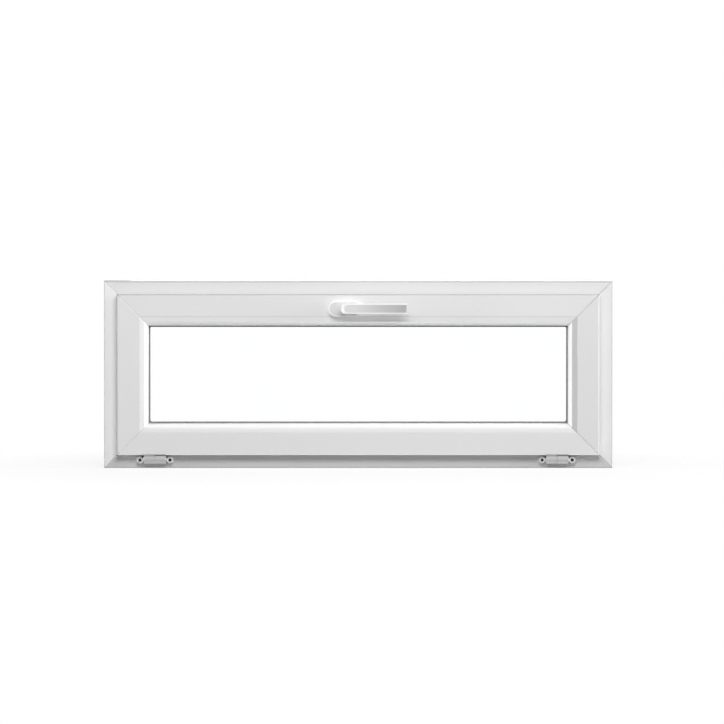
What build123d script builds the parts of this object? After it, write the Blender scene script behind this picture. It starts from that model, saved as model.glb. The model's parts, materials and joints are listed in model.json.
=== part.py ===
from build123d import *
import os

# A bottom-hung hopper window in white plastic profiles, seen from the room.
# X runs to the right, Y to the outside, Z up. The origin is the middle of the sill's underside.
# Across each profile, inset is the distance inwards from the outer frame's edge.

# Overall size
window_width = 1000.0
window_height = 368.0

# Outer frame profile
frame_depth = 60.0
frame_face_width = 35.0
frame_upstand_height = 20.0
frame_upstand_depth = 13.0
frame_edge_round = 1.5
nose_land = 3.0
nose_round = 1.5
frame_nose_slope = 5.0
clip_groove_width = 6.0
clip_groove_depth = 3.0
clip_groove_spacing = 36.0
weld_groove_width = 1.6
weld_groove_depth = 0.3

# Sash profile
overlap_edge_inset = 26.0
overlap_thickness = 13.0
overlap_clearance = 5.0
rebate_clearance = 11.0
sash_back_clearance = 5.0
sash_body_width = 24.0
glazing_upstand_height = 18.0
glazing_upstand_depth = 12.0
sash_edge_round = 3.0
sash_inner_round = 1.0
sash_nose_slope = 7.0
hardware_groove_width = 16.0
hardware_groove_depth = 2.5
hardware_groove_setback = 20.0

# Glass unit, its gaskets and its beads
pane_thickness = 4.0
pane_gap = 16.0
outer_gasket_thickness = 3.0
inner_gasket_thickness = 2.0
gasket_reveal = 2.4
gasket_width = 8.0
gasket_corner_round = 4.0
glass_edge_gap = 4.0
spacer_width = 11.0
block_length = 90.0
block_inset = 200.0
bead_step = 1.0
bead_flat = 3.0
bead_edge_depth = 4.0
bead_bulge = 3.5

# Weather gaskets between sash and frame
seal_gap = 0.3
frame_seal_width = 5.0
frame_seal_margin = 2.0
sash_seal_width = 4.0
sash_seal_margin = 3.0

# Surface hinges on the sill
hinge_inset = 104.5
hinge_hand_shift = 4.2
hinge_axis_height = 17.0
knuckle_radius = 8.4
knuckle_length = 21.4
knuckle_gap = 0.5
hinge_pin_radius = 2.5
hinge_pin_clearance = 0.05
pin_head_radius = 4.0
pin_head_thickness = 0.8
hinge_plate_thickness = 2.5
hinge_plate_clearance = 0.5
hinge_plate_level = 16.0
eyelet_spacing = 59.0
eyelet_radius = 6.7
eyelet_height = 9.0
eyelet_chamfer = 1.0
eyelet_hole_radius = 2.3
pilot_hole_radius = 2.0
pilot_hole_depth = 14.0
hinge_web_height = 13.0
hinge_pad_depth = 11.0
hinge_pad_setback = 1.0

# Handle
spindle_offset = -26.0
spindle_backset = 5.5
spindle_size = 7.0
spindle_reach = 33.0
spindle_grip = 17.0
spindle_clearance = 0.05
spindle_hole_radius = 5.1
rosette_length = 65.0
rosette_height = 31.0
rosette_thickness = 9.0
rosette_chamfer = 1.5
neck_gap = 0.3
lever_length = 121.0
lever_height = 20.5
lever_thickness = 12.0
lever_projection = 42.0
lever_bend_radius = 11.0
lever_inner_radius = 5.0
lever_edge_round = 2.0

# Locking strip, cams and strikers
faceplate_inset = 120.0
faceplate_thickness = 2.5
lock_inset = 200.0
cam_shift = 34.0
cam_stem_radius = 3.0
cam_stem_height = 2.0
cam_head_radius = 4.5
cam_head_height = 1.5
striker_length = 44.0
striker_width = 18.0
striker_thickness = 3.5
striker_slot_length = 26.0
striker_slot_width = 9.0

# Drain caps on the outer face of the sill
drain_cap_inset = 170.0
drain_cap_length = 42.0
drain_cap_height = 14.0
drain_cap_thickness = 4.0
drain_cap_wall = 1.5
drain_cap_chamfer = 1.0
drain_level = 20.0
drain_slot_length = 28.0
drain_slot_width = 5.0
drain_slot_line = 6.0

# Depths and insets that follow from the sizes above
room_face = -frame_depth / 2
outer_face = frame_depth / 2
frame_rebate_face = outer_face - frame_upstand_depth
frame_nose_inset = frame_face_width + frame_upstand_height
sash_body_inset = frame_face_width + rebate_clearance
sash_back = frame_rebate_face - sash_back_clearance
overlap_back = room_face - overlap_clearance
sash_face = overlap_back - overlap_thickness
bead_inset = sash_body_inset + sash_body_width
sight_inset = bead_inset + glazing_upstand_height
glazing_seat = sash_back - glazing_upstand_depth
outer_pane_back = glazing_seat - outer_gasket_thickness
inner_pane_back = outer_pane_back - pane_thickness - pane_gap
inner_pane_face = inner_pane_back - pane_thickness
bead_seat = inner_pane_face - inner_gasket_thickness
bead_face = sash_face + bead_step
glass_inset = bead_inset + glass_edge_gap
hardware_groove_face = sash_back - hardware_groove_setback - hardware_groove_width
hinge_axis_depth = room_face - hinge_plate_thickness - hinge_plate_clearance - knuckle_radius
lock_line = hardware_groove_face + hardware_groove_width / 2
middle_height = window_height / 2
sash_top = window_height - sash_body_inset
faceplate_level = sash_top - hardware_groove_depth
spindle_height = faceplate_level - spindle_backset
block_offset = window_width / 2 - block_inset
hinge_offset = window_width / 2 - hinge_inset
lock_offset = window_width / 2 - lock_inset
drain_cap_offset = window_width / 2 - drain_cap_inset
faceplate_length = window_width - 2 * faceplate_inset

# The four sides, each with its own plane: inset along local x, depth along local y, length along local z
side_planes = {
    "bottom": Plane(origin=(0, 0, 0), x_dir=(0, 0, 1), z_dir=(-1, 0, 0)),
    "top": Plane(origin=(0, 0, window_height), x_dir=(0, 0, -1), z_dir=(1, 0, 0)),
    "left": Plane(origin=(-window_width / 2, 0, middle_height), x_dir=(1, 0, 0), z_dir=(0, 0, 1)),
    "right": Plane(origin=(window_width / 2, 0, middle_height), x_dir=(-1, 0, 0), z_dir=(0, 0, -1)),
}
side_half_lengths = {
    "bottom": window_width / 2,
    "top": window_width / 2,
    "left": window_height / 2,
    "right": window_height / 2,
}
frame_names = {
    "bottom": "frame_sill",
    "top": "frame_head",
    "left": "frame_left_jamb",
    "right": "frame_right_jamb",
}
sash_names = {
    "bottom": "sash_bottom_rail",
    "top": "sash_top_rail",
    "left": "sash_left_stile",
    "right": "sash_right_stile",
}
# Both hinges are of one hand, so the pair stands a little left of the middle
hinge_places = {"left": -hinge_offset - hinge_hand_shift, "right": hinge_offset - hinge_hand_shift}
# Faces with a weld groove, and which way along Y each groove is cut
frame_welds = ((room_face, 1), (outer_face, -1))
sash_welds = ((sash_face, 1), (sash_back, -1))

os.makedirs("parts", exist_ok=True)


def save(piece, name):
    piece.part.label = name
    export_step(piece.part, f"parts/{name}.step")


def corner(sketch, inset, depth):
    # The sketch's vertex at that inset and depth
    return sketch.vertices().sort_by_distance(Vector(inset, depth, 0))[0]


# Profiles


def frame_profile():
    with BuildSketch() as profile:
        with BuildLine():
            Polyline(
                (0, room_face),
                (frame_face_width, room_face),
                (frame_face_width, frame_rebate_face),
                (frame_nose_inset, frame_rebate_face),
                (frame_nose_inset, frame_rebate_face + nose_land),
                (frame_nose_inset - frame_nose_slope, outer_face),
                (0, outer_face),
                close=True,
            )
        make_face()
        fillet(
            [corner(profile, 0, room_face), corner(profile, frame_face_width, room_face)],
            radius=frame_edge_round,
        )
        fillet([corner(profile, 0, outer_face)], radius=frame_edge_round)
        fillet([corner(profile, frame_nose_inset - frame_nose_slope, outer_face)], radius=nose_round)
        # Grooves round the outside of the frame, where sills and packers clip in
        with GridLocations(0, clip_groove_spacing, 1, 2):
            Rectangle(
                clip_groove_depth,
                clip_groove_width,
                align=(Align.MIN, Align.CENTER),
                mode=Mode.SUBTRACT,
            )
    return profile.sketch


def sash_profile():
    with BuildSketch() as profile:
        with BuildLine():
            Polyline(
                (overlap_edge_inset, sash_face),
                (bead_inset, sash_face),
                (bead_inset, glazing_seat),
                (sight_inset, glazing_seat),
                (sight_inset, glazing_seat + nose_land),
                (sight_inset - sash_nose_slope, sash_back),
                (sash_body_inset, sash_back),
                (sash_body_inset, overlap_back),
                (overlap_edge_inset, overlap_back),
                close=True,
            )
        make_face()
        fillet([corner(profile, overlap_edge_inset, sash_face)], radius=sash_edge_round)
        fillet([corner(profile, bead_inset, sash_face)], radius=sash_inner_round)
        fillet([corner(profile, sight_inset - sash_nose_slope, sash_back)], radius=nose_round)
        fillet([corner(profile, overlap_edge_inset, overlap_back)], radius=sash_inner_round)
        # Groove round the edge of the sash, which takes the locking strip
        with Locations((sash_body_inset, hardware_groove_face)):
            Rectangle(
                hardware_groove_depth,
                hardware_groove_width,
                align=(Align.MIN, Align.MIN),
                mode=Mode.SUBTRACT,
            )
    return profile.sketch


def bead_profile():
    # A flat beside the sash, then a full curve that runs down to the glass
    curve_start = (bead_inset + bead_flat, bead_face)
    curve_end = (sight_inset, bead_seat - bead_edge_depth)
    chord_middle = (Vector(*curve_start) + Vector(*curve_end)) / 2
    chord = Vector(*curve_end) - Vector(*curve_start)
    bulge = Vector(chord.Y, -chord.X).normalized() * bead_bulge
    with BuildSketch() as profile:
        with BuildLine():
            Polyline((bead_inset, bead_seat), (bead_inset, bead_face), curve_start)
            ThreePointArc(curve_start, chord_middle + bulge, curve_end)
            Polyline(curve_end, (sight_inset, bead_seat), (bead_inset, bead_seat))
        make_face()
    return profile.sketch


def mitred_member(profile, side, welded_faces=()):
    # One side of a mitred frame, cut at both ends along the line from the outer corner.
    # A welded corner has a shallow groove along the joint on the faces given.
    plane = side_planes[side]
    half_length = side_half_lengths[side]
    with BuildPart() as member:
        with BuildSketch(plane):
            add(profile)
        extrude(amount=half_length, both=True)
        for end in (1, -1):
            tip = plane.from_local_coords((0, 0, end * half_length))
            split(
                bisect_by=Plane(origin=tip, z_dir=plane.x_dir + plane.z_dir * end),
                keep=Keep.BOTTOM,
            )
            inward = (plane.x_dir - plane.z_dir * end).normalized()
            for face_depth, into in welded_faces:
                groove_plane = Plane(
                    origin=(tip.X, face_depth, tip.Z),
                    x_dir=Vector(0, into, 0).cross(inward),
                    z_dir=inward,
                )
                with BuildSketch(groove_plane):
                    with BuildLine():
                        Polyline(
                            (-weld_groove_width, -weld_groove_depth),
                            (weld_groove_width, -weld_groove_depth),
                            (0, weld_groove_depth),
                            close=True,
                        )
                    make_face()
                extrude(amount=2 * sight_inset, mode=Mode.SUBTRACT)
    return member


def flat_ring(outer_inset, width, back, thickness, inner_round=0):
    # A rectangular ring that lies flat, from its back towards the room
    inner_inset = outer_inset + width
    with BuildSketch() as opening:
        Rectangle(window_width - 2 * inner_inset, window_height - 2 * inner_inset)
        if inner_round:
            fillet(opening.vertices(), radius=inner_round)
    with BuildPart() as ring:
        with BuildSketch(Plane.XZ.offset(-back)):
            with Locations((0, middle_height)):
                Rectangle(window_width - 2 * outer_inset, window_height - 2 * outer_inset)
                add(opening.sketch, mode=Mode.SUBTRACT)
        extrude(amount=thickness)
    return ring


# Outer frame

for side, name in frame_names.items():
    if side == "bottom":
        with BuildPart() as frame_sill:
            add(mitred_member(frame_profile(), side, frame_welds).part)
            # Pilot holes for the hinge screws
            for place in hinge_places.values():
                with Locations(Plane.XZ.offset(-room_face)):
                    with Locations((place, hinge_plate_level)):
                        with GridLocations(eyelet_spacing, 0, 2, 1):
                            Hole(pilot_hole_radius, depth=pilot_hole_depth)
            # Drain slots from the rebate's floor out to the caps
            with BuildSketch(Plane.XY.offset(frame_face_width)):
                with Locations((0, drain_slot_line)):
                    with GridLocations(2 * drain_cap_offset, 0, 2, 1):
                        Rectangle(drain_slot_length, drain_slot_width)
            extrude(amount=drain_level - drain_slot_width / 2 - frame_face_width, mode=Mode.SUBTRACT)
            with BuildSketch(Plane.XZ.offset(-outer_face)):
                with Locations((0, drain_level)):
                    with GridLocations(2 * drain_cap_offset, 0, 2, 1):
                        Rectangle(drain_slot_length, drain_slot_width)
            extrude(amount=outer_face - drain_slot_line, mode=Mode.SUBTRACT)
        save(frame_sill, name)
    else:
        save(mitred_member(frame_profile(), side, frame_welds), name)

save(
    flat_ring(
        frame_nose_inset - frame_seal_margin - frame_seal_width,
        frame_seal_width,
        frame_rebate_face,
        sash_back_clearance - seal_gap,
    ),
    "frame_seal",
)


def drain_cap(place):
    # A hood over the slot, open below
    with BuildPart() as cap:
        with BuildSketch(Plane.XZ.offset(-outer_face)):
            with Locations((place, drain_level)):
                RectangleRounded(drain_cap_length, drain_cap_height, drain_cap_height / 4)
        extrude(amount=-drain_cap_thickness)
        chamfer(cap.faces().sort_by(Axis.Y)[-1].edges(), length=drain_cap_chamfer)
        with BuildSketch(Plane.XZ.offset(-outer_face)):
            with Locations((place, drain_level + drain_slot_width / 2)):
                Rectangle(drain_slot_length, drain_cap_height, align=(Align.CENTER, Align.MAX))
        extrude(amount=drain_cap_wall - drain_cap_thickness, mode=Mode.SUBTRACT)
    return cap


for side, place in {"left": -drain_cap_offset, "right": drain_cap_offset}.items():
    save(drain_cap(place), f"{side}_drain_cap")


# Hinges: a plate with two eyelets and one knuckle on the frame, one knuckle on the sash


def hinge_plate(place):
    plate_plane = Plane.XZ.offset(-room_face)
    knuckle_start = place + knuckle_gap / 2
    with BuildPart() as plate:
        with BuildSketch(plate_plane):
            with Locations((place, hinge_plate_level)):
                SlotOverall(eyelet_spacing + 2 * eyelet_radius, 2 * eyelet_radius)
        extrude(amount=hinge_plate_thickness)
        with BuildSketch(plate_plane):
            with Locations((place, hinge_plate_level)):
                with GridLocations(eyelet_spacing, 0, 2, 1):
                    Circle(eyelet_radius)
        extrude(amount=eyelet_height)
        rims = plate.edges().filter_by(GeomType.CIRCLE).filter_by_position(
            Axis.Y, room_face - eyelet_height, room_face - eyelet_height
        )
        chamfer(rims, length=eyelet_chamfer)
        # Web that carries the knuckle
        with BuildSketch(plate_plane):
            with Locations((knuckle_start, hinge_plate_level)):
                Rectangle(knuckle_length, hinge_web_height, align=(Align.MIN, Align.CENTER))
        extrude(amount=room_face - hinge_axis_depth)
        with BuildSketch(Plane.YZ.offset(knuckle_start)):
            with Locations((hinge_axis_depth, hinge_axis_height)):
                Circle(knuckle_radius)
        extrude(amount=knuckle_length)
        with Locations(Plane(origin=(place, hinge_axis_depth, hinge_axis_height), z_dir=(1, 0, 0))):
            Hole(hinge_pin_radius + hinge_pin_clearance)
        with Locations(plate_plane):
            with Locations((place, hinge_plate_level)):
                with GridLocations(eyelet_spacing, 0, 2, 1):
                    Hole(eyelet_hole_radius)
    return plate


def hinge_leaf(place):
    knuckle_end = place - knuckle_gap / 2
    pad_top = overlap_edge_inset
    with BuildPart() as leaf:
        with BuildSketch(Plane.YZ.offset(knuckle_end)):
            with Locations((hinge_axis_depth, hinge_axis_height)):
                Circle(knuckle_radius)
            # Pad under the lip of the sash
            with Locations((sash_face + hinge_pad_setback, hinge_axis_height)):
                Rectangle(hinge_pad_depth, pad_top - hinge_axis_height, align=(Align.MIN, Align.MIN))
            with Locations((hinge_axis_depth, hinge_axis_height)):
                Circle(hinge_pin_radius + hinge_pin_clearance, mode=Mode.SUBTRACT)
        extrude(amount=-knuckle_length)
    return leaf


def hinge_pin(place):
    half_barrel = knuckle_length + knuckle_gap / 2
    head_gap = knuckle_gap / 2
    with BuildPart() as pin:
        with BuildSketch(Plane.YZ.offset(place - half_barrel - head_gap)):
            with Locations((hinge_axis_depth, hinge_axis_height)):
                Circle(hinge_pin_radius)
        extrude(amount=2 * (half_barrel + head_gap))
        for end in (1, -1):
            with BuildSketch(Plane.YZ.offset(place + end * (half_barrel + head_gap))):
                with Locations((hinge_axis_depth, hinge_axis_height)):
                    Circle(pin_head_radius)
            extrude(amount=end * pin_head_thickness)
    return pin


for side, place in hinge_places.items():
    save(hinge_plate(place), f"{side}_hinge_plate")
    save(hinge_leaf(place), f"{side}_hinge_leaf")
    save(hinge_pin(place), f"{side}_hinge_pin")


# Sash

spindle_plane = Plane.XZ.offset(-sash_face)

for side, name in sash_names.items():
    if side == "top":
        with BuildPart() as sash_top_rail:
            add(mitred_member(sash_profile(), side, sash_welds).part)
            # Hole for the handle's spindle
            with Locations(spindle_plane):
                with Locations((spindle_offset, spindle_height)):
                    Hole(spindle_hole_radius, depth=spindle_reach + neck_gap)
        save(sash_top_rail, name)
    else:
        save(mitred_member(sash_profile(), side, sash_welds), name)

for side in side_planes:
    save(mitred_member(bead_profile(), side), f"{side}_glazing_bead")

save(
    flat_ring(
        overlap_edge_inset + sash_seal_margin,
        sash_seal_width,
        room_face - seal_gap,
        overlap_clearance - seal_gap,
    ),
    "sash_seal",
)


# Glass unit


def pane(back):
    with BuildPart() as sheet:
        with BuildSketch(Plane.XZ.offset(-back)):
            with Locations((0, middle_height)):
                Rectangle(window_width - 2 * glass_inset, window_height - 2 * glass_inset)
        extrude(amount=pane_thickness)
    return sheet


save(pane(outer_pane_back), "outer_pane")
save(pane(inner_pane_back), "inner_pane")
save(flat_ring(glass_inset, spacer_width, outer_pane_back - pane_thickness, pane_gap), "glass_spacer")

gasket_inset = sight_inset + gasket_reveal - gasket_width
for name, back, thickness in (
    ("outer_glazing_gasket", glazing_seat, outer_gasket_thickness),
    ("inner_glazing_gasket", inner_pane_face, inner_gasket_thickness),
):
    save(flat_ring(gasket_inset, gasket_width, back, thickness, gasket_corner_round), name)

with BuildPart() as setting_blocks:
    with BuildSketch(Plane.XY.offset(bead_inset)):
        with Locations((0, (outer_pane_back + inner_pane_face) / 2)):
            with GridLocations(2 * block_offset, 0, 2, 1):
                Rectangle(block_length, outer_pane_back - inner_pane_face)
    extrude(amount=glass_edge_gap)
save(setting_blocks, "setting_blocks")


# Locking strip with its cams, and the strikers in the head

with BuildPart() as lock_faceplate:
    with BuildSketch(Plane.XY.offset(faceplate_level)):
        with Locations((0, lock_line)):
            RectangleRounded(faceplate_length, hardware_groove_width, hardware_groove_width / 4)
    extrude(amount=faceplate_thickness)
save(lock_faceplate, "lock_faceplate")


def lock_cam(place):
    # A mushroom pin
    foot = faceplate_level + faceplate_thickness
    with BuildPart() as cam:
        with BuildSketch(Plane.XY.offset(foot)):
            with Locations((place, lock_line)):
                Circle(cam_stem_radius)
        extrude(amount=cam_stem_height)
        with BuildSketch(Plane.XY.offset(foot + cam_stem_height)):
            with Locations((place, lock_line)):
                Circle(cam_head_radius)
        extrude(amount=cam_head_height)
    return cam


def striker(place):
    with BuildPart() as keep:
        with BuildSketch(Plane.XY.offset(window_height - frame_face_width)):
            with Locations((place, lock_line)):
                RectangleRounded(striker_length, striker_width, striker_width / 4)
                SlotOverall(striker_slot_length, striker_slot_width, mode=Mode.SUBTRACT)
        extrude(amount=-striker_thickness)
    return keep


for side, place in {"left": -lock_offset, "right": lock_offset}.items():
    save(lock_cam(place - cam_shift), f"{side}_lock_cam")
    save(striker(place), f"{side}_striker")


# Handle

with BuildPart() as handle_rosette:
    with BuildSketch(spindle_plane):
        with Locations((spindle_offset, spindle_height)):
            SlotOverall(rosette_length, rosette_height)
            Circle(spindle_hole_radius, mode=Mode.SUBTRACT)
    extrude(amount=rosette_thickness)
    front = handle_rosette.faces().sort_by(Axis.Y)[0]
    chamfer(front.outer_wire().edges(), length=rosette_chamfer)
save(handle_rosette, "handle_rosette")

neck_start = sash_face - rosette_thickness - neck_gap
lever_face = sash_face - lever_projection
lever_back = lever_face + lever_thickness
lever_tip = spindle_offset + lever_length

neck_half_width = lever_height / 2

with BuildPart() as handle_lever:
    # Seen from above: a neck that bends into the bar
    with BuildSketch(Plane.XY.offset(spindle_height)) as bend:
        with BuildLine():
            Polyline(
                (spindle_offset - neck_half_width, neck_start),
                (spindle_offset + neck_half_width, neck_start),
                (spindle_offset + neck_half_width, lever_back),
                (lever_tip, lever_back),
                (lever_tip, lever_face),
                (spindle_offset - neck_half_width, lever_face),
                close=True,
            )
        make_face()
        fillet([corner(bend, spindle_offset - neck_half_width, lever_face)], radius=lever_bend_radius)
        fillet([corner(bend, spindle_offset + neck_half_width, lever_back)], radius=lever_inner_radius)
    extrude(amount=neck_half_width, both=True)
    # Seen from the room: a round root and a straight bar
    with BuildSketch(Plane.XZ.offset(-neck_start)):
        with Locations((spindle_offset, spindle_height)):
            Circle(neck_half_width)
            Rectangle(lever_length, lever_height, align=(Align.MIN, Align.CENTER))
    extrude(amount=lever_projection, mode=Mode.INTERSECT)
    # The outline of the front is rounded, all but the line where the bend runs into the bar
    front_level = lever_face + lever_bend_radius / 2
    front_edges = handle_lever.edges().filter_by(lambda edge: edge.center().Y < front_level)
    bend_line = front_edges.filter_by(Axis.Z).sort_by(Axis.X)[0]
    fillet([edge for edge in front_edges if edge != bend_line], radius=lever_edge_round)
    with BuildSketch(Plane.XZ.offset(-neck_start)):
        with Locations((spindle_offset, spindle_height)):
            Rectangle(spindle_size + 2 * spindle_clearance, spindle_size + 2 * spindle_clearance)
    extrude(amount=spindle_grip, mode=Mode.SUBTRACT)
save(handle_lever, "handle_lever")

with BuildPart() as handle_spindle:
    with BuildSketch(Plane.XZ.offset(-(sash_face + spindle_reach))):
        with Locations((spindle_offset, spindle_height)):
            Rectangle(spindle_size, spindle_size)
    extrude(amount=spindle_reach + sash_face - neck_start + spindle_grip)
save(handle_spindle, "handle_spindle")
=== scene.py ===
import bpy
import bmesh
import json
import math
from mathutils import Matrix, Vector


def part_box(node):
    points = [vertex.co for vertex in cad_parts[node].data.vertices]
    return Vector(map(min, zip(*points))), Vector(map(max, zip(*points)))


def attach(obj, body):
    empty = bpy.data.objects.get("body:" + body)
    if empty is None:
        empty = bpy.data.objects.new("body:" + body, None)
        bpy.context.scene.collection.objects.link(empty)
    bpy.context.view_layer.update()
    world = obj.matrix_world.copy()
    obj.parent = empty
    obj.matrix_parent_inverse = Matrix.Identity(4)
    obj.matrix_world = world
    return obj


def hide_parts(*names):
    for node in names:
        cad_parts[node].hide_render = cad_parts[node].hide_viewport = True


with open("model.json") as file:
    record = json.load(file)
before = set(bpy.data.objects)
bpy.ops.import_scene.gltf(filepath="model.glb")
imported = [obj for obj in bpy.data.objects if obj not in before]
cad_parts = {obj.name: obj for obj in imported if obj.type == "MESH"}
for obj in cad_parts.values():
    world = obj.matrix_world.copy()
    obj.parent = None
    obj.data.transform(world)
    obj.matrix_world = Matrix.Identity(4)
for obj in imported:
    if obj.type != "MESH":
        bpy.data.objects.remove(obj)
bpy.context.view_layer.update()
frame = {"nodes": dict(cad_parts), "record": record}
nodes = frame["nodes"]

# Overall sizes of the window, metres
windowWidth = 1.0
windowHeight = 0.368
middleHeight = windowHeight / 2
roomFace = -0.030
sashFace = -0.048
spindleX = -0.026
spindleZ = 0.314

print("frame loaded")


# Small helpers for node trees

class NodeKit:
    # A material's node tree with short ways to add to it
    def __init__(self, name):
        self.material = bpy.data.materials.new(name)
        self.material.use_nodes = True
        self.tree = self.material.node_tree
        self.shader = self.tree.nodes["Principled BSDF"]
        self.output = self.tree.nodes["Material Output"]
        self.coords = self.tree.nodes.new("ShaderNodeTexCoord").outputs["Object"]

    def add(self, kind, **settings):
        node = self.tree.nodes.new(kind)
        for name, value in settings.items():
            setattr(node, name, value)
        return node

    def join(self, source, target):
        # source is a socket or a plain value
        if hasattr(source, "links"):
            self.tree.links.new(source, target)
        else:
            target.default_value = source

    def calc(self, operation, first, second=0.0):
        node = self.add("ShaderNodeMath", operation=operation)
        for socket, value in zip(node.inputs, (first, second)):
            self.join(value, socket)
        return node.outputs[0]

    def away(self, value, middle):
        # How far a value is from a middle, on either side
        return self.calc("ABSOLUTE", self.calc("SUBTRACT", value, middle))

    def diagonal(self, first, second):
        # Length over two sides that stand square
        squares = self.calc("ADD", self.calc("MULTIPLY", first, first), self.calc("MULTIPLY", second, second))
        return self.calc("SQRT", squares)

    def dim(self, tone, mask, share):
        # Takes a share of the tone away where the mask is 1
        return self.calc("MULTIPLY", tone, self.calc("SUBTRACT", 1.0, self.calc("MULTIPLY", mask, share)))

    def axes(self):
        # The object's x, y and z as three sockets
        node = self.add("ShaderNodeSeparateXYZ")
        self.join(self.coords, node.inputs[0])
        return node.outputs

    def noise(self, scale, stretch=(1, 1, 1), detail=2.0):
        mapping = self.add("ShaderNodeMapping")
        mapping.inputs["Scale"].default_value = stretch
        self.join(self.coords, mapping.inputs["Vector"])
        node = self.add("ShaderNodeTexNoise")
        node.inputs["Scale"].default_value = scale
        node.inputs["Detail"].default_value = detail
        self.join(mapping.outputs[0], node.inputs["Vector"])
        return node.outputs["Fac"]

    def spread(self, source, low, high, newLow=0.0, newHigh=1.0):
        node = self.add("ShaderNodeMapRange", clamp=True)
        for name, value in (
            ("Value", source),
            ("From Min", low),
            ("From Max", high),
            ("To Min", newLow),
            ("To Max", newHigh),
        ):
            self.join(value, node.inputs[name])
        return node.outputs["Result"]

    def vary(self, noise, low, high):
        # Most of a noise lies between 0.3 and 0.7
        return self.spread(noise, 0.3, 0.7, low, high)

    def blendColour(self, share, first, second):
        node = self.add("ShaderNodeMix", data_type="RGBA")
        self.join(share, node.inputs["Factor"])
        for value, socket in ((first, node.inputs[6]), (second, node.inputs[7])):
            self.join((*value, 1.0), socket)
        return node.outputs[2]

    def greyOf(self, level):
        # A grey colour from a level that may pass 1
        node = self.add("ShaderNodeCombineColor")
        for socket in node.inputs:
            self.join(level, socket)
        return node.outputs[0]

    def bump(self, height, distance, under=None):
        node = self.add("ShaderNodeBump")
        node.inputs["Distance"].default_value = distance
        node.inputs["Strength"].default_value = 1.0
        self.join(height, node.inputs["Height"])
        if under is not None:
            self.join(under, node.inputs["Normal"])
        return node.outputs["Normal"]

    def wire(self, colour, roughness, normal=None):
        # Joins what was made to the shader
        self.join(colour, self.shader.inputs["Base Color"])
        self.join(roughness, self.shader.inputs["Roughness"])
        if normal is not None:
            self.join(normal, self.shader.inputs["Normal"])


black = (0, 0, 0)
white = (1, 1, 1)


def grey(level):
    return (level, level, level)


# Window plastic

profilePlastic = {
    "roughness": 0.32,
    "roughnessSpread": 0.04,
    "cloudScale": 6.0,
    "cloudiness": 0.016,      # soft tone changes along a profile
    "streakScale": 14.0,
    "streaks": 0.006,         # fine extrusion lines
    "streakStretch": (0.8, 60),         # along the profile and across it
    "streakDepth": 0.000004,
    "grainScale": 900.0,
    "grainDepth": 0.00001,
    "weldShadeTones": (0.88, 0.62),          # dark weld lines, with painted shade making the right corners darker
    "weldTonesMeet": (-0.1, 0.1),
    "weldHalfWidth": 0.0006,
    "weldDepth": 0.00035,
    "coat": 0.15,
    "coatRoughness": 0.12,
    "outsideLevel": 0.86,
    "outsideFrom": (-0.0262, -0.0250),  # depth at which all members take the outside's tone
    "wallSideInset": (0.0003, 0.0010),  # the faces towards the wall are left rough
    "wallSideRoughness": 0.9,
    "holeShadeRadius": 0.0023,
    "holeStart": roomFace + 0.0002,
}


def makeProfilePlastic(name, level, alongX, bands=(), holes=False, look=profilePlastic):
    # Each band is (side, start, end, tone before, tone after), by the distance in from that side
    kit = NodeKit(name)
    x, y, z = kit.axes()
    along, across = look["streakStretch"]
    stretch = (along, across, across) if alongX else (across, across, along)
    cloud = kit.noise(look["cloudScale"], detail=1.0)
    streak = kit.noise(look["streakScale"], stretch, detail=3.0)
    tone = kit.calc(
        "ADD",
        kit.vary(cloud, 1 - look["cloudiness"], 1.0),
        kit.spread(streak, 0.35, 0.65, -look["streaks"], 0.0),
    )
    # The welded mitres run at 45 degrees from every corner
    fromSide = kit.calc("SUBTRACT", windowWidth / 2, kit.calc("ABSOLUTE", x))
    fromEnd = kit.calc("SUBTRACT", middleHeight, kit.away(z, middleHeight))
    offMitre = kit.away(fromSide, fromEnd)
    width = look["weldHalfWidth"]
    # Painted shade deepens the weld lines at the right corners
    weldShade = kit.spread(x, *look["weldTonesMeet"], *look["weldShadeTones"])
    tone = kit.calc("MULTIPLY", tone, kit.spread(offMitre, width, 2.2 * width, weldShade, 1.0))
    insets = {
        "all": kit.calc("MINIMUM", fromSide, fromEnd),
        "left": kit.calc("ADD", windowWidth / 2, x),
        "right": kit.calc("SUBTRACT", windowWidth / 2, x),
        "top": kit.calc("SUBTRACT", windowHeight, z),
        "bottom": z,
    }
    # The bands paint light and shade along the edges and on the beads' slopes
    for side, start, end, before, after in bands:
        tone = kit.calc("MULTIPLY", tone, kit.spread(insets[side], start, end, before, after))
    # Painted shade darkens the fixing holes in the sill
    if holes:
        belowFace = kit.calc("GREATER_THAN", y, look["holeStart"])
        paintedHoleShade = kit.calc("MULTIPLY", screwHoleMask(kit, look["holeShadeRadius"]), belowFace)
        tone = kit.dim(tone, paintedHoleShade, hingeHoles["shade"])
    # The room side takes each member's level, with its painted light and shade; the outside has one tone
    memberLevelWithPaintedLight = kit.spread(y, *look["outsideFrom"], level, look["outsideLevel"])
    colour = kit.greyOf(kit.calc("MULTIPLY", tone, memberLevelWithPaintedLight))
    rough = look["roughness"]
    satin = kit.vary(streak, rough - look["roughnessSpread"], rough + look["roughnessSpread"])
    wallSide = kit.spread(insets["all"], *look["wallSideInset"], 1.0, 0.0)
    roughness = kit.calc("MAXIMUM", satin, kit.calc("MULTIPLY", wallSide, look["wallSideRoughness"]))
    fine = kit.bump(kit.noise(look["grainScale"]), look["grainDepth"])
    groove = kit.bump(kit.spread(offMitre, 0.0, 3.0 * width), look["weldDepth"], fine)
    kit.wire(colour, roughness, kit.bump(streak, look["streakDepth"], groove))
    kit.shader.inputs["Coat Weight"].default_value = look["coat"]
    kit.shader.inputs["Coat Roughness"].default_value = look["coatRoughness"]
    return kit.material


# The four fixing holes of the hinge plates
hingeHoles = {
    "middle": -0.0042,      # the pair of hinges stands a little left
    "hingeOffset": 0.3955,
    "holeOffset": 0.0295,
    "height": 0.016,
    "softness": 0.0001,
    "shade": 0.97,
}


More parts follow.
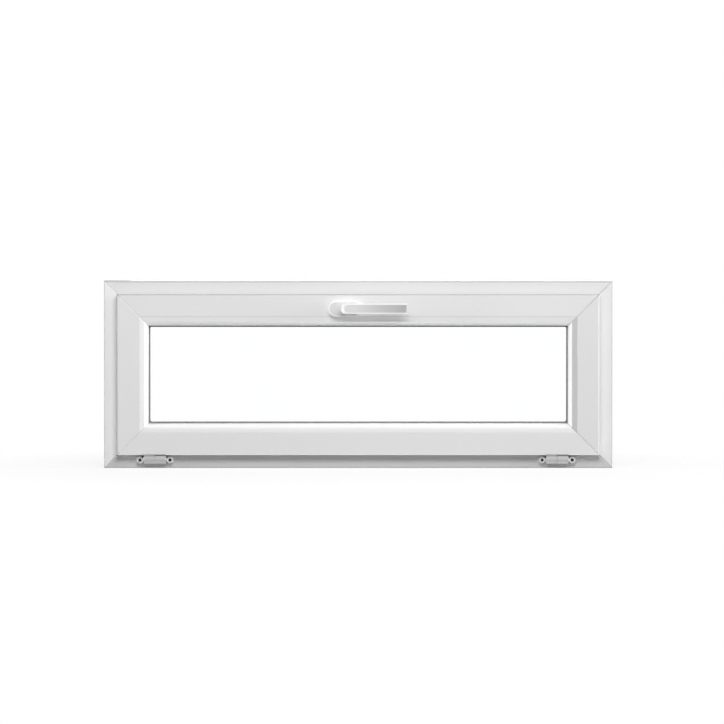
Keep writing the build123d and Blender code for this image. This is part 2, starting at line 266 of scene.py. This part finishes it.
def screwHoleMask(kit, radius, look=hingeHoles):
    # 1 inside the given radius round any of the holes, 0 outside
    x, _, z = kit.axes()
    fromHinge = kit.away(kit.away(x, look["middle"]), look["hingeOffset"])
    fromHole = kit.calc("SUBTRACT", fromHinge, look["holeOffset"])
    level = kit.calc("SUBTRACT", z, look["height"])
    distance = kit.diagonal(fromHole, level)
    return kit.spread(distance, radius - look["softness"], radius, 1.0, 0.0)


# Grey of each profile, and the bands along it. The outer edges of the frame and the sash's top and left edges
# carry painted shade, the sash's bottom edge a painted highlight, the right jamb painted light beside the
# sash, and the beads' slopes painted light and shade, palest by the glass
frameEdgeShade = [("all", 0.0010, 0.0024, 0.68, 1.0)]
headEdgeShade = [("all", 0.0018, 0.0036, 0.62, 1.0)]
# painted light on the right jamb beside the sash
rightJambShadeAndLight = [*frameEdgeShade, ("right", 0.0205, 0.0245, 1.0, 1.12)]
# painted shade on the sash's top and left edges, a painted highlight on its bottom edge
sashEdgeShadeAndHighlight = [
    ("top", 0.0272, 0.0292, 0.52, 1.0),
    ("left", 0.0270, 0.0288, 0.62, 1.0),
    ("right", 0.0275, 0.0295, 0.98, 1.0),
    ("bottom", 0.0275, 0.0295, 1.19, 1.0),
]


def beadSlopeLightAndShade(before, after):
    # Painted light and shade on each bead: the gentle slope has the tone before the fold, the steep one the
    # tone after it
    return [("all", 0.0795, 0.0810, before, after)]


# Each member's level holds painted light and shade: the sill is darkened as painted shade under the sash, the
# left jamb lightened as painted light, the others set to how they are lit
plasticNodes = {
    "frame_sill": ("frameSill", 0.63, True, frameEdgeShade),
    "frame_head": ("frameHead", 0.86, True, headEdgeShade),
    "frame_left_jamb": ("frameLeftJamb", 0.95, False, frameEdgeShade),
    "frame_right_jamb": ("frameRightJamb", 0.86, False, rightJambShadeAndLight),
    "sash_bottom_rail": ("sashBottomRail", 0.84, True, sashEdgeShadeAndHighlight),
    "sash_top_rail": ("sashTopRail", 0.835, True, sashEdgeShadeAndHighlight),
    "sash_left_stile": ("sashLeftStile", 0.845, False, sashEdgeShadeAndHighlight),
    "sash_right_stile": ("sashRightStile", 0.81, False, sashEdgeShadeAndHighlight),
    "bottom_glazing_bead": ("bottomBead", 1.0, True, beadSlopeLightAndShade(0.76, 0.97)),
    "top_glazing_bead": ("topBead", 1.0, True, beadSlopeLightAndShade(0.93, 1.0)),
    "left_glazing_bead": ("leftBead", 1.0, False, beadSlopeLightAndShade(0.92, 0.95)),
    "right_glazing_bead": ("rightBead", 1.0, False, beadSlopeLightAndShade(0.63, 1.0)),
}
plastics = {}
for node, (name, level, alongX, bands) in plasticNodes.items():
    plastics[node] = makeProfilePlastic(f"{name}Plastic", level, alongX, bands, holes=node == "frame_sill")


# Rubber, moulded plastic, metal and glass

rubberLook = {
    "tone": 0.20,
    "dustGain": 1.3,          # how much paler it is where dust lies
    "dustScale": 60.0,
    "roughness": (0.62, 0.75),
    "grainScale": 2500.0,
    "grainDepth": 0.00002,
    "specular": 0.35,
}


def makeRubber(name, look=rubberLook):
    kit = NodeKit(name)
    dust = kit.noise(look["dustScale"], detail=3.0)
    tone = look["tone"]
    level = kit.spread(dust, 0.35, 0.75, tone, tone * look["dustGain"])
    colour = kit.blendColour(level, black, (1, 1, 1.01))
    grain = kit.bump(kit.noise(look["grainScale"]), look["grainDepth"])
    kit.wire(colour, kit.vary(dust, *look["roughness"]), grain)
    kit.shader.inputs["Specular IOR Level"].default_value = look["specular"]
    return kit.material


mouldedLook = {
    "cloudScale": 40.0,
    "cloudTones": (0.95, 1.0),
    "roughness": (0.40, 0.50),
    "sparkScale": 1400.0,     # the spark-eroded grain of its mould
    "sparkDepth": 0.00004,
}


def makeMoulded(name, colour, look=mouldedLook):
    kit = NodeKit(name)
    cloud = kit.noise(look["cloudScale"])
    spark = kit.bump(kit.noise(look["sparkScale"], detail=3.0), look["sparkDepth"])
    shaded = kit.blendColour(kit.vary(cloud, *look["cloudTones"]), black, colour)
    kit.wire(shaded, kit.vary(cloud, *look["roughness"]), spark)
    return kit.material


coatLook = {
    "cloudScale": 30.0,
    "cloudTones": (0.97, 1.0),
    "peelScale": 700.0,
    "peelDepth": 0.00002,
    "roughnessSpread": 0.04,
    "leverCentre": 0.3149,
    "leverFaceHalf": 0.0077,
    "leverFaceStart": -0.0268,
    "leverFaceBlend": (0.0003, 0.0002),     # inside its outline and outside it
    "leverFaceDepth": (-0.0880, -0.0870),   # the face's tone ends here
    "edgeDepth": (-0.0885, -0.0860),        # and the edge's painted highlight fades to the sides' tone here
    "edgeHighlightTone": 1.0,
    "sideTone": 0.82,
    # painted shade along the grip, darker towards its tip
    "gripStart": -0.010,
    "gripEnd": 0.092,
    "gripShadeTones": (0.78, 0.47),
    "rosetteFace": 0.76,
    "rosetteShift": 0.017,
    "rosetteFaceRadius": 0.0132,
    "rosetteFaceBlend": 0.0002,
    "rimHighlightTone": 1.0,
    "barrelHeights": (0.014, 0.020),
    "barrelPaintedLightTones": (0.57, 0.44),            # painted light underneath and painted shade on top, against the light from above
    "eyeletTone": 0.66,
    "eyeletRadius": 0.0070,
    "holeShadeRadius": 0.0031,
}


def makeCoated(name, tone, roughness, look=coatLook):
    # Powder coat with a faint orange peel; tone(kit) gives its grey as a socket
    kit = NodeKit(name)
    cloud = kit.noise(look["cloudScale"])
    peel = kit.noise(look["peelScale"], detail=1.0)
    shade = kit.calc("MULTIPLY", kit.vary(cloud, *look["cloudTones"]), tone(kit))
    rough = kit.vary(peel, roughness - look["roughnessSpread"], roughness + look["roughnessSpread"])
    kit.wire(kit.blendColour(shade, black, white), rough, kit.bump(peel, look["peelDepth"]))
    return kit.material


def leverShadeAndHighlight(kit, look=coatLook):
    # Painted shade darkens the grip towards its tip, and a painted highlight keeps its edges pale
    x, y, z = kit.axes()
    grip = kit.spread(x, look["gripStart"], look["gripEnd"], *look["gripShadeTones"])
    fromMiddle = kit.away(z, look["leverCentre"])
    half = look["leverFaceHalf"]
    # The face ends round at the bend, and all that lies outside it takes the painted highlight
    behind = kit.calc("MINIMUM", kit.calc("SUBTRACT", x, look["leverFaceStart"] + half), 0.0)
    fromCore = kit.diagonal(behind, fromMiddle)
    inside, outside = look["leverFaceBlend"]
    edge = kit.spread(fromCore, half - inside, half + outside)
    edge = kit.calc("MAXIMUM", edge, kit.spread(y, *look["leverFaceDepth"]))
    pale = kit.spread(y, *look["edgeDepth"], look["edgeHighlightTone"], look["sideTone"])
    rest = kit.calc("SUBTRACT", 1.0, edge)
    return kit.calc("ADD", kit.calc("MULTIPLY", edge, pale), kit.calc("MULTIPLY", rest, grip))


def rosetteToneAndRimHighlight(kit, look=coatLook):
    # A painted highlight makes a pale rim round the face, which has the shape of a stadium
    x, _, z = kit.axes()
    aside = kit.calc("SUBTRACT", kit.away(x, spindleX), look["rosetteShift"])
    aside = kit.calc("MAXIMUM", aside, 0.0)
    fromCore = kit.diagonal(aside, kit.calc("SUBTRACT", z, spindleZ))
    face = look["rosetteFaceRadius"]
    return kit.spread(fromCore, face, face + look["rosetteFaceBlend"], look["rosetteFace"], look["rimHighlightTone"])


def hingeToneWithPaintedLight(kit, look=coatLook):
    ring = screwHoleMask(kit, look["eyeletRadius"])
    # Painted shade darkens the screw holes and a thin ring round them
    hole = screwHoleMask(kit, look["holeShadeRadius"])
    barrelPaintedLight = kit.spread(kit.axes()[2], *look["barrelHeights"], *look["barrelPaintedLightTones"])
    paler = kit.calc("MULTIPLY", ring, kit.calc("SUBTRACT", look["eyeletTone"], barrelPaintedLight))
    return kit.dim(kit.calc("ADD", barrelPaintedLight, paler), hole, hingeHoles["shade"])


zincLook = {
    "bloomScale": 90.0,
    "tones": (0.50, 0.66),
    "brush": (2, 120, 120),   # fine lines along x
    "brushScale": 20.0,
    "brushDepth": 0.00001,
    "roughness": (0.28, 0.42),
}


def makeZinc(name, look=zincLook):
    kit = NodeKit(name)
    lines = kit.noise(look["brushScale"], look["brush"], detail=3.0)
    bloom = kit.noise(look["bloomScale"], detail=4.0)
    colour = kit.blendColour(kit.spread(bloom, 0.3, 0.75, *look["tones"]), black, (1.0, 1.0, 1.03))
    kit.wire(colour, kit.vary(lines, *look["roughness"]), kit.bump(lines, look["brushDepth"]))
    kit.shader.inputs["Metallic"].default_value = 1.0
    return kit.material


spacerLook = {
    "holePitch": 0.004,
    "rowPitch": 0.005,
    "rowStart": 0.015,
    "barTone": 0.60,
    "holeTone": 0.12,
    "holeShare": 0.8,
    "cloudScale": 50.0,
    "roughness": (0.32, 0.45),
}


def makeSpacer(name, look=spacerLook):
    # Folded bar with rows of small breathing holes
    kit = NodeKit(name)
    x, y, z = kit.axes()
    alongX = kit.calc("SINE", kit.calc("MULTIPLY", x, 2 * math.pi / look["holePitch"]))
    alongZ = kit.calc("SINE", kit.calc("MULTIPLY", z, 2 * math.pi / look["holePitch"]))
    fromRow = kit.calc("ADD", y, look["rowStart"])
    rows = kit.calc("COSINE", kit.calc("MULTIPLY", fromRow, 2 * math.pi / look["rowPitch"]))
    hole = kit.spread(kit.calc("MULTIPLY", kit.calc("MULTIPLY", alongX, alongZ), rows), 0.55, 0.75)
    share = kit.calc("MULTIPLY", hole, look["holeShare"])
    colour = kit.blendColour(share, grey(look["barTone"]), grey(look["holeTone"]))
    kit.wire(colour, kit.vary(kit.noise(look["cloudScale"]), *look["roughness"]))
    kit.shader.inputs["Metallic"].default_value = 1.0
    return kit.material


glassLook = {
    "tint": (0.996, 1.0, 0.998),
    "filmScale": 9.0,
    "filmRoughness": (0.0, 0.012),
    "bending": 1.5,
}


def makeGlass(name, look=glassLook):
    # Float glass that lets lamps through
    kit = NodeKit(name)
    kit.wire((*look["tint"], 1.0), kit.vary(kit.noise(look["filmScale"]), *look["filmRoughness"]))
    kit.shader.inputs["IOR"].default_value = look["bending"]
    kit.shader.inputs["Transmission Weight"].default_value = 1.0
    path = kit.add("ShaderNodeLightPath")
    clear = kit.add("ShaderNodeBsdfTransparent")
    mix = kit.add("ShaderNodeMixShader")
    rays = kit.calc("MAXIMUM", path.outputs["Is Shadow Ray"], path.outputs["Is Diffuse Ray"])
    kit.join(rays, mix.inputs[0])
    kit.join(kit.shader.outputs[0], mix.inputs[1])
    kit.join(clear.outputs[0], mix.inputs[2])
    kit.join(mix.outputs[0], kit.output.inputs["Surface"])
    return kit.material


slotMaterials = {
    "cap_plastic": makeMoulded("drainCapPlastic", grey(0.80)),
    "block_plastic": makeMoulded("settingBlockPlastic", (0.04, 0.07, 0.22)),
    "seal_rubber": makeRubber("sealRubber"),
    "clear_glass": makeGlass("floatGlass"),
    "spacer_metal": makeSpacer("spacerBar"),
    "hinge_coating": makeCoated("hingeCoating", hingeToneWithPaintedLight, 0.42),
    "handle_coating": makeCoated("leverCoating", leverShadeAndHighlight, 0.32),
    "zinc_steel": makeZinc("zincPlatedSteel"),
}
rosetteCoat = makeCoated("rosetteCoating", rosetteToneAndRimHighlight, 0.34)

for part in frame["record"]["subparts"]:
    name = part["node"]
    finish = plastics[name] if name in plastics else slotMaterials[part["material_slot"]]
    slots = nodes[name].data.materials
    slots.clear()
    slots.append(finish)
print("materials done:", len(bpy.data.materials))


# Helpers for new meshes

creaseAngle = math.radians(50)
touching = 1e-6


def linked(name, data):
    # A new object of some data, put into the scene
    thing = bpy.data.objects.new(name, data)
    bpy.context.scene.collection.objects.link(thing)
    return thing


def meshFrom(name, shape):
    # Turns a bmesh into mesh data
    data = bpy.data.meshes.new(name)
    shape.to_mesh(data)
    shape.free()
    return data


def vertsOf(pulled):
    # The corners that an extrusion moved
    return [item for item in pulled["geom"] if isinstance(item, bmesh.types.BMVert)]


def roundEdges(mesh, edges, offset, segments):
    bmesh.ops.bevel(
        mesh, geom=edges, offset=offset, segments=segments, profile=0.5, affect="EDGES", material=-1,
    )


def place(name, mesh, finish, body):
    # Makes an object of a bmesh and lets it ride on a body
    bmesh.ops.recalc_face_normals(mesh, faces=mesh.faces[:])
    thing = linked(name, meshFrom(name, mesh))
    thing.data.materials.append(finish)
    thing.data.shade_smooth()
    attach(thing, body)
    return thing


def applyModifiers(thing):
    bpy.context.view_layer.update()
    shaped = bpy.data.meshes.new_from_object(thing.evaluated_get(bpy.context.evaluated_depsgraph_get()))
    thing.modifiers.clear()
    thing.data = shaped


def cutBy(thing, cutterShape, operation="DIFFERENCE"):
    # Takes a bmesh shape out of an object, or keeps what lies in it
    cutter = linked("cutter", meshFrom("cutter", cutterShape))
    cut = thing.modifiers.new("cut", "BOOLEAN")
    cut.object = cutter
    cut.operation = operation
    cut.solver = "EXACT"
    applyModifiers(thing)
    bpy.data.objects.remove(cutter)


# Glazing beads: a gentle slope beside the sash, then a steep one down to the glass

beadLook = {
    "inset": 0.0700,
    "sight": 0.0880,
    "seat": -0.0290,
    "slope": ((0.0701, -0.0478), (0.0795, -0.0456), (0.0877, -0.0370)),
    "softness": 0.0012,
    "segments": 3,
}


def addBead(side, look=beadLook):
    level = side in ("bottom", "top")
    reach = windowWidth / 2 if level else middleHeight
    across = middleHeight if level else windowWidth / 2
    outline = [(look["inset"], look["seat"]), *look["slope"], (look["sight"], look["seat"])]
    mesh = bmesh.new()
    corners = [mesh.verts.new((-reach, y, inset - across)) for inset, y in outline]
    end = mesh.faces.new(corners)
    pulled = bmesh.ops.extrude_face_region(mesh, geom=[end])
    bmesh.ops.translate(mesh, vec=(2 * reach, 0, 0), verts=vertsOf(pulled))
    # The ridges that show are softened, and those at the sash and in the seat stay sharp
    foremost = look["slope"][0][1] + 0.0001
    rearmost = look["seat"] - 0.001
    ridges = [
        edge for edge in mesh.edges
        if abs(edge.verts[0].co.x - edge.verts[1].co.x) > reach
        and foremost < edge.verts[0].co.y < rearmost
    ]
    roundEdges(mesh, ridges, look["softness"], look["segments"])
    # Both ends are cut along the mitres
    for direction in (-1, 1):
        cut = bmesh.ops.bisect_plane(
            mesh,
            geom=mesh.verts[:] + mesh.edges[:] + mesh.faces[:],
            plane_co=(direction * reach, 0, -across),
            plane_no=(direction, 0, 1),
            clear_outer=True,
        )
        rim = [item for item in cut["geom_cut"] if isinstance(item, bmesh.types.BMEdge)]
        bmesh.ops.contextual_create(mesh, geom=rim)
    turn = {"bottom": 0, "top": 180, "left": 90, "right": -90}[side]
    bmesh.ops.rotate(mesh, matrix=Matrix.Rotation(math.radians(turn), 3, "Y"), verts=mesh.verts[:])
    bmesh.ops.translate(mesh, vec=(0, 0, middleHeight), verts=mesh.verts[:])
    bead = place(f"{side}_bead_moulding", mesh, plastics[f"{side}_glazing_bead"], "sash")
    bead.data.set_sharp_from_angle(angle=creaseAngle)
    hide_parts(f"{side}_glazing_bead")


for side in ("bottom", "top", "left", "right"):
    addBead(side)
print("beads done")


# Handle: a rounded rosette and a lever with soft edges

rosetteLook = {
    "length": 0.065,
    "height": 0.031,
    "thickness": 0.009,
    "hole": 0.0051,
    "rim": 0.0009,
    "rimSegments": 5,
    "stepIn": 0.0014,
    "stepDepth": 0.0003,
    "segments": 96,
}


def addRosette(look=rosetteLook):
    radius = look["height"] / 2
    shift = look["length"] / 2 - radius
    segments = look["segments"]
    mesh = bmesh.new()
    outer = bmesh.ops.create_circle(mesh, radius=radius, segments=segments)["verts"]
    # Half a step of turn keeps every corner off the middle, where the circle is parted
    bmesh.ops.rotate(mesh, matrix=Matrix.Rotation(math.pi / segments, 3, "Z"), verts=outer)
    for vert in outer:
        vert.co.x += math.copysign(shift, vert.co.x)
    bmesh.ops.create_circle(mesh, radius=look["hole"], segments=segments)
    bmesh.ops.bridge_loops(mesh, edges=mesh.edges[:])
    raised = bmesh.ops.extrude_face_region(mesh, geom=mesh.faces[:])
    bmesh.ops.translate(mesh, vec=(0, 0, look["thickness"]), verts=vertsOf(raised))
    halfWay = look["thickness"] / 2
    nearHole = 2 * look["hole"]
    rimEdges = [
        edge for edge in mesh.edges
        if all(vert.co.z > halfWay and vert.co.xy.length > nearHole for vert in edge.verts)
    ]
    roundEdges(mesh, rimEdges, look["rim"], look["rimSegments"])
    topLevel = look["thickness"] - touching
    top = [face for face in mesh.faces if all(vert.co.z > topLevel for vert in face.verts)]
    bmesh.ops.inset_region(mesh, faces=top, thickness=look["stepIn"], depth=-look["stepDepth"])
    bmesh.ops.rotate(mesh, matrix=Matrix.Rotation(math.pi / 2, 3, "X"), verts=mesh.verts[:])
    bmesh.ops.translate(mesh, vec=(spindleX, sashFace, spindleZ), verts=mesh.verts[:])
    rosette = place("handle_rose", mesh, rosetteCoat, "sash")
    rosette.data.set_sharp_from_angle(angle=creaseAngle)
    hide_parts("handle_rosette")


leverLook = {
    "low": 0.3050,
    "high": 0.3248,
    "neckStart": -0.0573,
    "front": -0.0900,
    "thickness": 0.012,
    "reach": 0.121,
    "bend": 0.012,
    "bendSegments": 14,
    "innerBend": 0.005,
    "innerSegments": 6,
    "tipRound": 0.0012,
    "tipSegments": 3,
    "rootSegments": 64,
    "stencilStart": -0.045,   # behind the neck
    "stencilLength": 0.06,
    "voxel": 0.0006,
    "softenFactor": 0.5,
    "softenings": 9,
    "socket": 0.0071,
    "socketDepth": 0.017,
}


def bevelUpright(mesh, x, y, offset, segments):
    # Rounds the edge that stands upright at x and y
    found = [
        edge for edge in mesh.edges
        if all(abs(vert.co.x - x) < touching and abs(vert.co.y - y) < touching for vert in edge.verts)
    ]
    roundEdges(mesh, found, offset, segments)


def leverBlank(look):
    # The lever seen from above, a square corner at its root
    half = (look["high"] - look["low"]) / 2
    back = look["front"] + look["thickness"]
    tip = spindleX + look["reach"]
    root = spindleX - half
    outline = [
        (root, look["neckStart"]),
        (root, look["front"]),
        (tip, look["front"]),
        (tip, back),
        (spindleX + half, back),
        (spindleX + half, look["neckStart"]),
    ]
    mesh = bmesh.new()
    underside = mesh.faces.new([mesh.verts.new((x, y, look["low"])) for x, y in outline])
    pulled = bmesh.ops.extrude_face_region(mesh, geom=[underside])
    bmesh.ops.translate(mesh, vec=(0, 0, look["high"] - look["low"]), verts=vertsOf(pulled))
    bevelUpright(mesh, root, look["front"], look["bend"], look["bendSegments"])
    bevelUpright(mesh, spindleX + half, back, look["innerBend"], look["innerSegments"])
    bevelUpright(mesh, tip, look["front"], look["tipRound"], look["tipSegments"])
    bevelUpright(mesh, tip, back, look["tipRound"], look["tipSegments"])
    return mesh


def leverStencil(look):
    # Seen from the front the root is round
    half = (look["high"] - look["low"]) / 2
    middle = (look["high"] + look["low"]) / 2
    segments = look["rootSegments"]
    stencil = bmesh.new()
    ring = bmesh.ops.create_circle(stencil, cap_ends=True, radius=half, segments=segments)["verts"]
    bmesh.ops.rotate(stencil, matrix=Matrix.Rotation(math.pi / segments, 3, "Z"), verts=ring)
    for vert in ring:
        if vert.co.x > 0:
            vert.co.x += look["reach"]
    thick = bmesh.ops.extrude_face_region(stencil, geom=stencil.faces[:])
    bmesh.ops.translate(stencil, vec=(0, 0, look["stencilLength"]), verts=vertsOf(thick))
    bmesh.ops.recalc_face_normals(stencil, faces=stencil.faces[:])
    bmesh.ops.rotate(stencil, matrix=Matrix.Rotation(math.pi / 2, 3, "X"), verts=stencil.verts[:])
    bmesh.ops.translate(stencil, vec=(spindleX, look["stencilStart"], middle), verts=stencil.verts[:])
    return stencil


def addLever(look=leverLook):
    finish = slotMaterials["handle_coating"]
    lever = place("handle_grip", leverBlank(look), finish, "handle")
    cutBy(lever, leverStencil(look), "INTERSECT")
    # A fine remesh, softened, gives the cast lever its rounded edges
    remesh = lever.modifiers.new("remesh", "REMESH")
    remesh.mode = "VOXEL"
    remesh.voxel_size = look["voxel"]
    remesh.use_smooth_shade = True
    soften = lever.modifiers.new("soften", "SMOOTH")
    soften.factor = look["softenFactor"]
    soften.iterations = look["softenings"]
    applyModifiers(lever)
    # Square socket for the spindle
    socket = bmesh.new()
    bmesh.ops.create_cube(socket, size=1.0)
    sides = (look["socket"], 2 * look["socketDepth"], look["socket"])
    bmesh.ops.scale(socket, vec=sides, verts=socket.verts[:])
    bmesh.ops.translate(socket, vec=(spindleX, look["neckStart"], spindleZ), verts=socket.verts[:])
    cutBy(lever, socket)
    lever.data.set_sharp_from_angle(angle=creaseAngle)
    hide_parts("handle_lever")


addRosette()
addLever()
print("handle done")


# Screws that hold the locking strip and the strikers

screwLook = {
    "headRadius": 0.0034,
    "headHeight": 0.0012,
    "chamferShare": 0.12,     # of the radius
    "recess": 0.0009,
    "recessWidth": 0.0009,
    "recessShare": 1.15,      # of the radius
    "segments": 24,
    "sunk": 0.0006,           # how deep a head sits in its plate
    "line": -0.016,
    "stripPlaces": (-0.36, -0.19, 0.05, 0.19, 0.36),
    "strikerInset": 0.0048,
}


def addScrew(name, spot, normal, body, look=screwLook):
    # A flat screw head with a cross recess, its face towards normal
    mesh = bmesh.new()
    bmesh.ops.create_circle(mesh, cap_ends=True, radius=look["headRadius"], segments=look["segments"])
    raised = bmesh.ops.extrude_face_region(mesh, geom=mesh.faces[:])
    bmesh.ops.translate(mesh, vec=(0, 0, look["headHeight"]), verts=vertsOf(raised))
    top = max(mesh.faces, key=lambda item: item.calc_center_median().z)
    chamfer = look["headRadius"] * look["chamferShare"]
    bmesh.ops.inset_region(mesh, faces=[top], thickness=chamfer, depth=0.0)
    bmesh.ops.recalc_face_normals(mesh, faces=mesh.faces[:])
    thing = linked(name, meshFrom(name, mesh))
    # The cross recess is cut with two thin bars
    bar = (look["headRadius"] * look["recessShare"], look["recessWidth"], look["recess"] * 2)
    for turn in (0, 1):
        cutter = bmesh.new()
        bmesh.ops.create_cube(cutter, size=1.0)
        bmesh.ops.scale(cutter, vec=bar, verts=cutter.verts[:])
        bmesh.ops.rotate(cutter, matrix=Matrix.Rotation(turn * math.pi / 2, 3, "Z"), verts=cutter.verts[:])
        bmesh.ops.translate(cutter, vec=(0, 0, look["headHeight"]), verts=cutter.verts[:])
        cutBy(thing, cutter)
    turnTo = Vector((0, 0, 1)).rotation_difference(Vector(normal)).to_matrix().to_4x4()
    thing.data.transform(Matrix.Translation(spot) @ turnTo)
    thing.data.materials.append(slotMaterials["zinc_steel"])
    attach(thing, body)


def addScrews(look=screwLook):
    sunk = look["sunk"]
    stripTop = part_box("lock_faceplate")[1].z
    for number, x in enumerate(look["stripPlaces"], start=1):
        addScrew(f"strip_screw_{number}", (x, look["line"], stripTop - sunk), (0, 0, 1), "sash")
    for side in ("left", "right"):
        low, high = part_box(f"{side}_striker")
        ends = (low.x + look["strikerInset"], high.x - look["strikerInset"])
        for number, x in enumerate(ends, start=1):
            addScrew(f"{side}_striker_screw_{number}", (x, look["line"], low.z + sunk), (0, 0, -1), "frame")


addScrews()
print("screws done")


# Floor and world

stageLook = {
    "floorSize": 14.0,
    "floorDrop": 0.0005,
    "floorGrey": 0.20,        # what the floor bounces onto the window
    "shadedGrey": 0.95,       # what shows where the floor keeps its shade
    "shadowShare": 0.18,      # how much of the floor's real shade shows
    "shadowFade": (0.5, 0.9),   # metres from the window over which that share goes
    "ambient": 0.05,
}


def makeFloor(look=stageLook):
    mesh = bmesh.new()
    bmesh.ops.create_grid(mesh, x_segments=1, y_segments=1, size=look["floorSize"] / 2)
    bmesh.ops.translate(mesh, vec=(0, 0, -look["floorDrop"]), verts=mesh.verts[:])
    floor = linked("floor", meshFrom("floor", mesh))
    kit = NodeKit("paleFloor")
    kit.tree.nodes.remove(kit.shader)
    path = kit.add("ShaderNodeLightPath")
    mirrored = kit.calc("MAXIMUM", path.outputs["Is Glossy Ray"], path.outputs["Is Transmission Ray"])
    seen = kit.calc("MAXIMUM", path.outputs["Is Camera Ray"], mirrored)
    plain = kit.add("ShaderNodeBsdfDiffuse")
    plain.inputs["Color"].default_value = (*grey(look["floorGrey"]), 1)
    pale = kit.add("ShaderNodeBsdfDiffuse")
    pale.inputs["Color"].default_value = (*grey(look["shadedGrey"]), 1)
    glow = kit.add("ShaderNodeEmission")
    glow.inputs["Strength"].default_value = 1.0
    # The floor keeps its shade by the window and has none far out
    distance = kit.add("ShaderNodeVectorMath", operation="LENGTH")
    kit.join(kit.coords, distance.inputs[0])
    share = kit.spread(distance.outputs["Value"], *look["shadowFade"], look["shadowShare"], 0.0)
    shown = kit.add("ShaderNodeMixShader")
    kit.join(share, shown.inputs[0])
    kit.join(glow.outputs[0], shown.inputs[1])
    kit.join(pale.outputs[0], shown.inputs[2])
    both = kit.add("ShaderNodeMixShader")
    kit.join(seen, both.inputs[0])
    kit.join(plain.outputs[0], both.inputs[1])
    kit.join(shown.outputs[0], both.inputs[2])
    kit.join(both.outputs[0], kit.output.inputs["Surface"])
    floor.data.materials.append(kit.material)
    floor.visible_shadow = False    # a light table, so the lamp below shines through


def makeWorld(look=stageLook):
    # White to the camera and to reflections, nearly dark as a light
    world = bpy.data.worlds.new("paleStudio")
    bpy.context.scene.world = world
    world.use_nodes = True
    tree = world.node_tree
    path = tree.nodes.new("ShaderNodeLightPath")
    first = tree.nodes.new("ShaderNodeMath")
    first.operation = "MAXIMUM"
    second = tree.nodes.new("ShaderNodeMath")
    second.operation = "MAXIMUM"
    tree.links.new(path.outputs["Is Camera Ray"], first.inputs[0])
    tree.links.new(path.outputs["Is Glossy Ray"], first.inputs[1])
    tree.links.new(first.outputs[0], second.inputs[0])
    tree.links.new(path.outputs["Is Transmission Ray"], second.inputs[1])
    strength = tree.nodes.new("ShaderNodeMapRange")
    strength.inputs["To Min"].default_value = look["ambient"]
    strength.inputs["To Max"].default_value = 1.0
    tree.links.new(second.outputs[0], strength.inputs["Value"])
    background = tree.nodes["Background"]
    background.inputs["Color"].default_value = (1, 1, 1, 1)
    tree.links.new(strength.outputs["Result"], background.inputs["Strength"])


makeFloor()
makeWorld()
print("floor and world done")


# Lamps

softboxes = {
    "frontHigh": {"place": (0.2, -2.6, 2.2), "size": (2.4, 1.2), "watts": 79.5},
    "rightHigh": {"place": (3.4, -1.0, 2.4), "size": (1.4, 1.4), "watts": 29.0},
    "rightSide": {"place": (9.0, -1.2, 1.7), "size": (3.2, 3.2), "watts": 480.0},
    "leftSide": {"place": (-9.0, -1.2, 1.7), "size": (3.2, 3.2), "watts": 410.0},
    "lightTable": {"place": (0.3, -0.35, -3.5), "size": (2.4, 0.6), "watts": 66.0},
    "behind": {"place": (0.6, 3.0, 0.9), "size": (2.4, 1.0), "watts": 58.0},
}
lampAim = Vector((0, 0, middleHeight))


def addSoftbox(name, look):
    lamp = bpy.data.lights.new(name, "AREA")
    lamp.shape = "RECTANGLE"
    lamp.size, lamp.size_y = look["size"]
    lamp.energy = look["watts"]
    thing = linked(name, lamp)
    thing.location = look["place"]
    thing.rotation_euler = (lampAim - thing.location).to_track_quat("-Z", "Y").to_euler()
    thing.visible_camera = False


for name, look in softboxes.items():
    addSoftbox(name, look)
print("lamps done")


# Camera

photoView = {
    "distance": 14.0,
    "elevation": 2.0,
    "viewWidth": 1.424,       # metres across the picture at the frame's room face
    "aim": (0.0074, roomFace, 0.2086),
    "sensor": 36.0,
    "farthest": 60.0,
}


def addCamera(look=photoView):
    data = bpy.data.cameras.new("photoCamera")
    data.sensor_width = look["sensor"]
    data.lens = look["sensor"] * look["distance"] / look["viewWidth"]
    data.clip_end = look["farthest"]
    camera = linked("photoCamera", data)
    tilt = math.radians(look["elevation"])
    back = Vector((0, -math.cos(tilt), math.sin(tilt)))
    camera.location = Vector(look["aim"]) + back * look["distance"]
    camera.rotation_euler = (-back).to_track_quat("-Z", "Y").to_euler()
    bpy.context.scene.camera = camera


addCamera()
bpy.context.scene.view_settings.view_transform = "Standard"
print("camera done")
